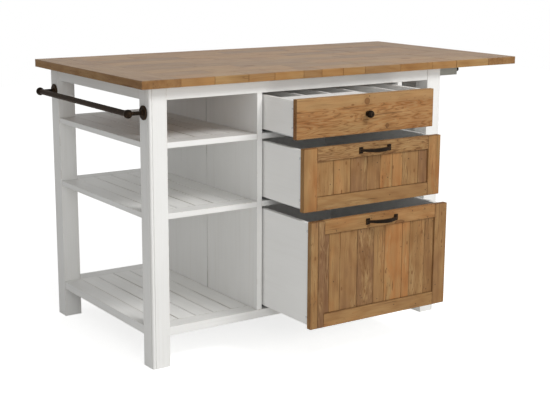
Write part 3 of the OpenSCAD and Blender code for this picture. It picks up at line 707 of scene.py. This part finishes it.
# How all pieces are made and finished.
meshing = {
    "weld": 0.00002,            # points nearer than this are joined
    "flat": 0.5,                # faces that turn less than this are one
    "sharp": 30,                # edges that turn more than this are rounded
    "smoothing": 80,            # how much the large faces lead the shading
    "lumps": 23,                # how close the hollows of a worn face lie
    "noiseReach": 50,           # how far the hollows' noise is moved for each piece
    "shifts": ((0, 40), (-0.05, 0.05), (0.03, 0.10)),       # of each board's grain
    "sawnMost": 0.4,
}
bodies = frame["record"]["behaviour"]["bodies"]
bodyOf = {node: body for body, nodes in bodies.items() for node in nodes}
slotOf = {row["node"]: row["material_slot"] for row in frame["record"]["subparts"]}
dressed = set()                 # the nodes that a piece stands for


def blockMesh(boards):
    # a closed block for each board, from its low corner to its high one
    work = bmesh.new()
    for low, high, *_ in boards:
        low, high = Vector(low), Vector(high)
        place = Matrix.Translation((low + high) / 2) @ Matrix.Diagonal((*(high - low), 1))
        bmesh.ops.create_cube(work, size=1, matrix=place)
    return work


def nodeMesh(node):
    # the CAD solids of a node, welded, with their flat faces made whole
    work = bmesh.new()
    work.from_mesh(frame["nodes"][node].data)
    bmesh.ops.remove_doubles(work, verts=work.verts, dist=meshing["weld"])
    bmesh.ops.dissolve_limit(work, angle_limit=radians(meshing["flat"]), verts=work.verts,
                             edges=work.edges)
    return work


def roundEdges(work, size):
    # rounds every sharp edge in two steps, and marks the new faces as worn
    sharp = [e for e in work.edges
             if len(e.link_faces) == 2 and e.calc_face_angle(0) > radians(meshing["sharp"])]
    worn = work.faces.layers.int.get("worn") or work.faces.layers.int.new("worn")
    made = bmesh.ops.bevel(work, geom=sharp, offset=size, offset_type="OFFSET", segments=2,
                           profile=0.5, affect="EDGES", clamp_overlap=True)
    for face in made["faces"]:
        face[worn] = 1


def cutAcross(work, axis, pitch):
    # cuts the mesh into strips of about pitch along an axis, evenly between its ends
    places = [v.co[axis] for v in work.verts]
    low, high = min(places), max(places)
    count = max(1, round((high - low) / pitch))
    plane = Vector((0, 0, 0))
    plane[axis] = 1
    for i in range(1, count):
        point = plane * (low + (high - low) * i / count)
        everything = list(work.verts) + list(work.edges) + list(work.faces)
        bmesh.ops.bisect_plane(work, geom=everything, plane_co=point, plane_no=plane)


def wearDown(work, axes, pitch, depth, seed):
    # lowers the surface unevenly, by depth at most, and the rounded edges up to twice that
    for axis in axes:
        cutAcross(work, axis, pitch)
    work.normal_update()
    worn = work.faces.layers.int["worn"]
    dice = Random(seed)
    away = Vector([dice.uniform(0, meshing["noiseReach"]) for _ in range(3)])
    moves = []
    for v in work.verts:
        hollow = 0.5 + 0.5 * noise.noise(v.co * meshing["lumps"] + away)
        onEdge = any(face[worn] for face in v.link_faces)
        moves.append(v.normal * depth * hollow * (2 if onEdge else 1))
    for v, move in zip(work.verts, moves):
        v.co -= move


def islandsOf(work):
    # the points of each part of the mesh that hangs together
    left, found = set(work.verts), []
    while left:
        front = [left.pop()]
        island = list(front)
        while front:
            for edge in front.pop().link_edges:
                for v in edge.verts:
                    if v in left:
                        left.remove(v)
                        front.append(v)
                        island.append(v)
        found.append(island)
    return found


def boxesOf(work):
    # middle, half size and points of each island, in an order that never changes
    found = []
    for island in islandsOf(work):
        low = Vector([min(v.co[i] for v in island) for i in range(3)])
        high = Vector([max(v.co[i] for v in island) for i in range(3)])
        found.append(((low + high) / 2, (high - low) / 2, island))
    return sorted(found, key=lambda row: [round(row[0][i], 4) for i in (0, 2, 1)])


def boardMarks(work, seed, boards, along):
    # each point's attributes: its board is the island that it lies in. Tone and sawn come
    # from the nearest of the boards given, or else from the dice.
    work.verts.index_update()
    count = len(work.verts)
    marks = {name: [None] * count for name in ("grain", "offset", "half", "tone", "sawn")}
    dice = Random(seed)
    for middle, size, island in boxesOf(work):
        order = sorted(range(3), key=lambda i: -size[i])
        if along is not None:
            order = [along] + [i for i in order if i != along]
        shift = Vector([dice.uniform(*reach) for reach in meshing["shifts"]])
        tone, sawn = dice.random(), dice.random() * meshing["sawnMost"]
        if boards:
            near = min(boards, key=lambda b: ((Vector(b[0]) + Vector(b[1])) / 2 - middle).length)
            tone, sawn = near[2:]
        half = Vector([size[i] for i in order])
        for v in island:
            offset = Vector([v.co[i] - middle[i] for i in order])
            for name, value in (("grain", offset + shift), ("offset", offset), ("half", half),
                                ("tone", tone), ("sawn", sawn)):
                marks[name][v.index] = value
    return marks


def writeMarks(mesh, name, domain, values):
    vectors = isinstance(values[0], Vector)
    kind, field = ("FLOAT_VECTOR", "vector") if vectors else ("FLOAT", "value")
    flat = [c for v in values for c in v] if vectors else values
    mesh.attributes.new(name, kind, domain).data.foreach_set(field, flat)


def pieceName(node):
    first, *others = node.split("_")
    return first + "".join(word.title() for word in others) + "Piece"


def finishPiece(name, work, slot, node, seed, boards=None, along=None, look=None,
                stands=True):
    # makes the mesh a piece on its node's body, and lets it stand for the node. A board
    # is its two corners, its tone and how sawn it is.
    marks = boardMarks(work, seed, boards, along)
    layer = work.faces.layers.int.get("worn")
    worn = [float(face[layer]) if layer else 0.0 for face in work.faces]
    for face in work.faces:
        face.smooth = True
    mesh = bpy.data.meshes.new(name)
    work.to_mesh(mesh)
    work.free()
    if "worn" in mesh.attributes:
        mesh.attributes.remove(mesh.attributes["worn"])
    for key, values in marks.items():
        writeMarks(mesh, key, "POINT", values)
    writeMarks(mesh, "worn", "FACE", worn)
    piece = addObject(name, mesh)
    mesh.materials.append(looks[look or slot])
    even = piece.modifiers.new("evenShading", "WEIGHTED_NORMAL")
    even.keep_sharp = True
    even.weight = meshing["smoothing"]
    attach(piece, bodyOf[node])
    if stands:
        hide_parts(node)
        dressed.add(node)


worktop = {
    "rows": 9,
    "stave": (0.24, 0.46),      # shortest and longest stave
    "firstShare": (0.4, 1),     # how much of a stave starts a row
    "round": 0.0007,
    "joint": 0.0002,
    "uneven": 0.0004,           # how far a stave may lie below the top
    "wear": 0.00025,
    "stavePitch": 0.05,         # how finely the worn faces are cut
    "cleatPitch": 0.03,
    "seeds": {"worktop": 11, "leaf": 23},
    # where the front row's staves meet, from the row's left end
    "frontJoints": {
        "worktop": (0.117, 0.238, 0.334, 0.444, 0.515, 0.60, 0.69, 0.84, 0.98),
        "leaf": (),
    },
    # shade and sawn marks of the front row's staves, then the reach of the others'
    "frontShades": {
        "worktop": ((0.75, 0.1), (0.95, 0.1), (0.62, 0.2), (0.85, 0.1), (0.50, 0.3), (0.72, 0.1),
                    (0.90, 0.2), (0.60, 0.1), (0.80, 0.1), (0.70, 0.1)),
        "leaf": ((1.0, 0.0),),
    },
    "shades": ((0.1, 0.9), (0, 0.4)),
    "cleatShade": (0.45, 0.1),
}


def staveJoints(node, row, left, right, dice):
    # where the staves of a row start and end
    if row == 0:
        return [left, *(left + at for at in worktop["frontJoints"][node]), right]
    shortest = worktop["stave"][0]
    joints = [left]
    place = left + dice.uniform(*worktop["stave"]) * dice.uniform(*worktop["firstShare"])
    while place < right - shortest / 2:
        joints.append(place)
        place += dice.uniform(*worktop["stave"])
    return joints + [right]


def staves(node, seed):
    # boards end to end in rows along the worktop
    low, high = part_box(node)
    cleatLow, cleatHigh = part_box(node + "_cleat")
    left = max(low.x, cleatHigh.x) if cleatLow.x < low.x else low.x
    right = min(high.x, cleatLow.x) if cleatHigh.x > high.x else high.x
    dice = Random(seed)
    pitch = (high.y - low.y) / worktop["rows"]
    half = worktop["joint"] / 2
    boards = []
    for row in range(worktop["rows"]):
        joints = staveJoints(node, row, left, right, dice)
        for number, (a, b) in enumerate(zip(joints, joints[1:])):
            front = dice.uniform(0, worktop["uneven"]) if row == 0 else half
            shade = [dice.uniform(*reach) for reach in worktop["shades"]]
            if row == 0:
                shade = worktop["frontShades"][node][number]
            top = high.z - dice.uniform(0, worktop["uneven"])
            boards.append(((a + half, low.y + row * pitch + front, low.z),
                           (b - half, low.y + (row + 1) * pitch - half, top), *shade))
    return boards


def makeTop(node):
    seed = worktop["seeds"][node]
    cleat = [(*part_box(node + "_cleat"), *worktop["cleatShade"])]
    # boards, the node that they stand for, pitch and the axis along the grain
    for boards, stands, pitch, along in (
            (staves(node, seed), node, worktop["stavePitch"], 0),
            (cleat, node + "_cleat", worktop["cleatPitch"], 1)):
        work = blockMesh(boards)
        roundEdges(work, worktop["round"])
        wearDown(work, (0, 1), pitch, worktop["wear"], seed + along)
        finishPiece(pieceName(stands), work, "worktop_wood", stands, seed + along, boards, along)


makeTop("worktop")
makeTop("leaf")
print("worktop and leaf made")

fronts = {
    "round": 0.0009,
    "wear": 0.00022,
    "pitch": 0.035,             # how finely the worn faces are cut
    "joint": 0.0003,
    "top": {"seed": 5, "board": (0.64, 0.9)},
    # In a framed front, each board has a shade and sawn marks. Joints are where planks
    # meet, and split where a stile is two strips, from left to right across the frame.
    "middle": {
        "frameSeed": 47,
        "plankSeed": 37,
        "stiles": ((0.60, 0.1), (0.56, 0.2)),
        "rails": ((0.50, 0.2), (0.34, 1.0)),
        "split": (),
        "joints": (-0.1791, -0.1128, -0.0483, 0.0044, 0.0540, 0.0962, 0.1615),
        "planks": ((0.44, 0.3), (0.56, 0.2), (0.20, 0.4), (0.28, 0.3), (0.80, 0.2), (0.70, 0.1),
                   (0.38, 0.4), (0.22, 0.2)),
    },
    "bottom": {
        "frameSeed": 48,
        "plankSeed": 38,
        "stiles": ((0.42, 0.3), (0.04, 0.5), (0.34, 0.2)),
        "rails": ((0.50, 0.1), (0.52, 0.0)),
        "split": (-0.2669,),
        "joints": (-0.2227, -0.1802, -0.1129, -0.0476, -0.0032, 0.0686, 0.1002, 0.1619),
        "planks": ((0.05, 0.5), (0.50, 0.2), (0.36, 0.3), (0.12, 0.6), (0.42, 0.2), (0.80, 0.1),
                   (0.72, 0.2), (0.42, 0.4), (0.22, 0.3)),
    },
}


def sideBySide(low, high, joints, shades):
    # boards across a box from left to right, a joint apart
    places = [low.x, *joints, high.x]
    gap = fronts["joint"]
    return [((a + (gap if a > low.x else 0), low.y, low.z),
             (b - (gap if b < high.x else 0), high.y, high.z), *shade)
            for a, b, shade in zip(places, places[1:], shades)]


def frameBoards(node, row):
    # the stiles at both ends, of which the left one may be split, and the rails between
    low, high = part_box(node + "_frame")
    inLow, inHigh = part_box(node + "_planks")
    gap = fronts["joint"]
    leftEnd = Vector((inLow.x - gap, high.y, high.z))
    rightStart = Vector((inHigh.x + gap, low.y, low.z))
    return [
        *sideBySide(low, leftEnd, row["split"], row["stiles"][:-1]),
        *sideBySide(rightStart, high, (), row["stiles"][-1:]),
        ((inLow.x, low.y, low.z), (inHigh.x, high.y, inLow.z - gap), *row["rails"][0]),
        ((inLow.x, low.y, inHigh.z + gap), (inHigh.x, high.y, high.z), *row["rails"][1]),
    ]


def makeFront(node, work, boards, seed, along=None, look=None):
    roundEdges(work, fronts["round"])
    wearDown(work, (0, 2), fronts["pitch"], fronts["wear"], seed)
    finishPiece(pieceName(node), work, "front_wood", node, seed, boards, along, look)


topBoard = [(*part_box("drawer_top_front"), *fronts["top"]["board"])]
makeFront("drawer_top_front", nodeMesh("drawer_top_front"), topBoard, fronts["top"]["seed"], 0,
          "top_front_wood")
for name in ("middle", "bottom"):
    node = "drawer_" + name
    row = fronts[name]
    boards = frameBoards(node, row)
    makeFront(node + "_frame", blockMesh(boards), boards, row["frameSeed"])
    planks = sideBySide(*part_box(node + "_planks"), row["joints"], row["planks"])
    makeFront(node + "_planks", blockMesh(planks), planks, row["plankSeed"], 2)
print("drawer fronts made")

plain = {
    # how far the edges are rounded in each slot
    "round": {"frame_white": 0.0014, "box_white": 0.0009, "runner_steel": 0.0003,
              "bracket_steel": 0.0005, "dark_bronze": 0.0007},
    "firstSeed": 100,
}
# the divider's boards: their joint is opened, and its faces are darkened as painted shade
divider = {
    # how far each board stands back from the joint between them
    "shifts": {"divider_front_board": -0.0009, "divider_back_board": 0.0009},
    "same": 0.0002,             # points nearer than this to the board's end are on it
    "reach": 0.0012,            # how far from the joint its faces with painted shade lie
    "dark": 20,                 # how many times more it darkens them, as painted shade, than a rounded edge's wear
}
buttonNodes = ("release_button_front", "release_button_back")


def openJoint(work, shift):
    # draws a board's end back from the joint, and gives the end's new place
    places = [v.co.y for v in work.verts]
    end = max(places) if shift < 0 else min(places)
    for v in work.verts:
        if abs(v.co.y - end) < divider["same"]:
            v.co.y += shift
    return end + shift


def paintJointShade(work, end):
    # darkens the faces at the joint as painted shade, by raising their worn mark
    worn = work.faces.layers.int["worn"]
    for face in work.faces:
        if abs(face.calc_center_median().y - end) < divider["reach"]:
            face[worn] = divider["dark"]


def makePlain(node, seed):
    # a painted board, box part or metal piece with the form of its CAD solids
    work = nodeMesh(node)
    slot = slotOf[node]
    # the slats take a paint lightened as painted light, with painted shade in their gaps
    look = "slat_white" if node.endswith("slats") else None
    shift = divider["shifts"].get(node)
    end = openJoint(work, shift) if shift else None
    roundEdges(work, plain["round"][slot])
    if shift:
        # the divider boards' joint faces take painted shade
        look = "divider_white"
        paintJointShade(work, end)
    finishPiece(pieceName(node), work, slot, node, seed, look=look)


for number, node in enumerate(sorted(set(frame["nodes"]) - dressed - set(buttonNodes))):
    makePlain(node, plain["firstSeed"] + number)
print("boards, boxes and hardware made")

button = {
    "sides": 32,
    # radius, and place along the button from its inner end
    "profile": ((0.0, 0.0), (0.0052, 0.0), (0.0058, 0.0006), (0.0058, 0.0194), (0.0068, 0.0194),
                (0.0075, 0.0200), (0.0075, 0.0268), (0.0070, 0.0282), (0.0058, 0.0291),
                (0.0035, 0.0295), (0.0, 0.0296)),
    "weld": 0.00001,
    "round": 0.0002,
    "seed": 260,
}


def makeButton(node):
    # a stem with a wider pressing head on its outer end
    low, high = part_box(node)
    y, z = (low.y + high.y) / 2, (low.z + high.z) / 2
    work = bmesh.new()
    line = [work.verts.new((low.x + along, y, z + radius)) for radius, along in button["profile"]]
    edges = [work.edges.new(pair) for pair in zip(line, line[1:])]
    bmesh.ops.spin(work, geom=line + edges, cent=(low.x, y, z), axis=(1, 0, 0), angle=2 * pi,
                   steps=button["sides"])
    bmesh.ops.remove_doubles(work, verts=work.verts, dist=button["weld"])
    bmesh.ops.recalc_face_normals(work, faces=work.faces)
    roundEdges(work, button["round"])
    finishPiece(pieceName(node), work, "dark_bronze", node, button["seed"])


for node in buttonNodes:
    makeButton(node)
print("release buttons made")

screws = {
    "sides": 16,
    # reach and height of each ring of a head, in radii, and whether the cross recess is
    # drawn in there, between its arms
    "profile": ((1.0, 0.0, 0), (1.0, 0.16, 0), (0.93, 0.36, 0), (0.72, 0.54, 0), (0.46, 0.60, 0),
                (0.44, 0.58, 1), (0.36, 0.22, 1)),
    "armEvery": 4,              # sides from one arm of the cross to the next
    "drawnIn": 0.35,
    "firstSeed": 300,
    # radii of the heads in the back panel, in the boxes' sides and behind the handles
    "panelRadius": 0.0042,
    "boxRadius": 0.0036,
    "gripRadius": 0.0050,
    "panelInset": 0.010,        # from the panel's edges
    "panelPitch": 0.23,
    "boxInset": (0.0075, 0.025),        # from a side's ends, and from its edges
    "gripInset": 0.0115,        # from the handles' ends
}


def screwHead(work, place, outward, radius):
    # a pan head with a cross recess, standing on a surface
    outward = Vector(outward)
    aside = outward.orthogonal().normalized()
    upright = outward.cross(aside)
    rings = []
    for reach, height, recess in screws["profile"]:
        ring = []
        for i in range(screws["sides"]):
            turn = 2 * pi * i / screws["sides"]
            between = recess and i % screws["armEvery"]
            away = radius * reach * (screws["drawnIn"] if between else 1)
            spot = aside * cos(turn) * away + upright * sin(turn) * away
            ring.append(work.verts.new(Vector(place) + spot + outward * radius * height))
        rings.append(ring)
    for lower, upper in zip(rings, rings[1:]):
        for i in range(len(lower)):
            j = (i + 1) % len(lower)
            work.faces.new((lower[i], lower[j], upper[j], upper[i]))
    work.faces.new(rings[-1])
    work.faces.new(rings[0][::-1])


def addScrews(name, node, places, outward, radius, slot):
    work = bmesh.new()
    for place in places:
        screwHead(work, place, outward, radius)
    bmesh.ops.recalc_face_normals(work, faces=work.faces)
    finishPiece(name, work, slot, node, screws["firstSeed"] + len(places), stands=False)


def panelScrews():
    # round the back panel's edges
    low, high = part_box("back_panel")
    inset = screws["panelInset"]
    left, right, foot, head = low.x + inset, high.x - inset, low.z + inset, high.z - inset
    across = max(1, round((right - left) / screws["panelPitch"]))
    upward = max(1, round((head - foot) / screws["panelPitch"]))
    places = [(left + (right - left) * i / across, high.y, z)
              for i in range(across + 1) for z in (foot, head)]
    places += [(x, high.y, foot + (head - foot) * i / upward)
               for i in range(1, upward) for x in (left, right)]
    addScrews("backPanelScrews", "back_panel", places, (0, 1, 0), screws["panelRadius"],
              "runner_steel")


def boxScrews(name):
    # at the corners of both sides of a drawer's box
    node = "drawer_" + name + "_sides"
    low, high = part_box(node)
    endInset, edgeInset = screws["boxInset"]
    places = [(y, z) for z in (low.z + edgeInset, high.z - edgeInset)
              for y in (low.y + endInset, high.y - endInset)]
    for side, x, outward in (("Left", low.x, -1), ("Right", high.x, 1)):
        addScrews(name + "Box" + side + "Screws", node, [(x, y, z) for y, z in places],
                  (outward, 0, 0), screws["boxRadius"], "runner_steel")


def gripScrews(name):
    # behind the handle's feet or the knob, inside the box's front
    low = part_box("drawer_" + name + "_sides")[0]
    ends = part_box("drawer_" + name + "_ends")
    gripLow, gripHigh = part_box("knob" if name == "top" else "handle_" + name)
    middle = (gripLow + gripHigh) / 2
    across = [gripLow.x + screws["gripInset"], gripHigh.x - screws["gripInset"]]
    if name == "top":
        across = [middle.x]
    # the front is as thick as a side, which is how far it stands in from the side's face
    inside = ends[0].y + (ends[0].x - low.x)
    addScrews(name + "GripScrews", "drawer_" + name + "_ends",
              [(x, inside, middle.z) for x in across], (0, 1, 0), screws["gripRadius"],
              "dark_bronze")


panelScrews()
for name in ("top", "middle", "bottom"):
    boxScrews(name)
    gripScrews(name)
print("screws made")
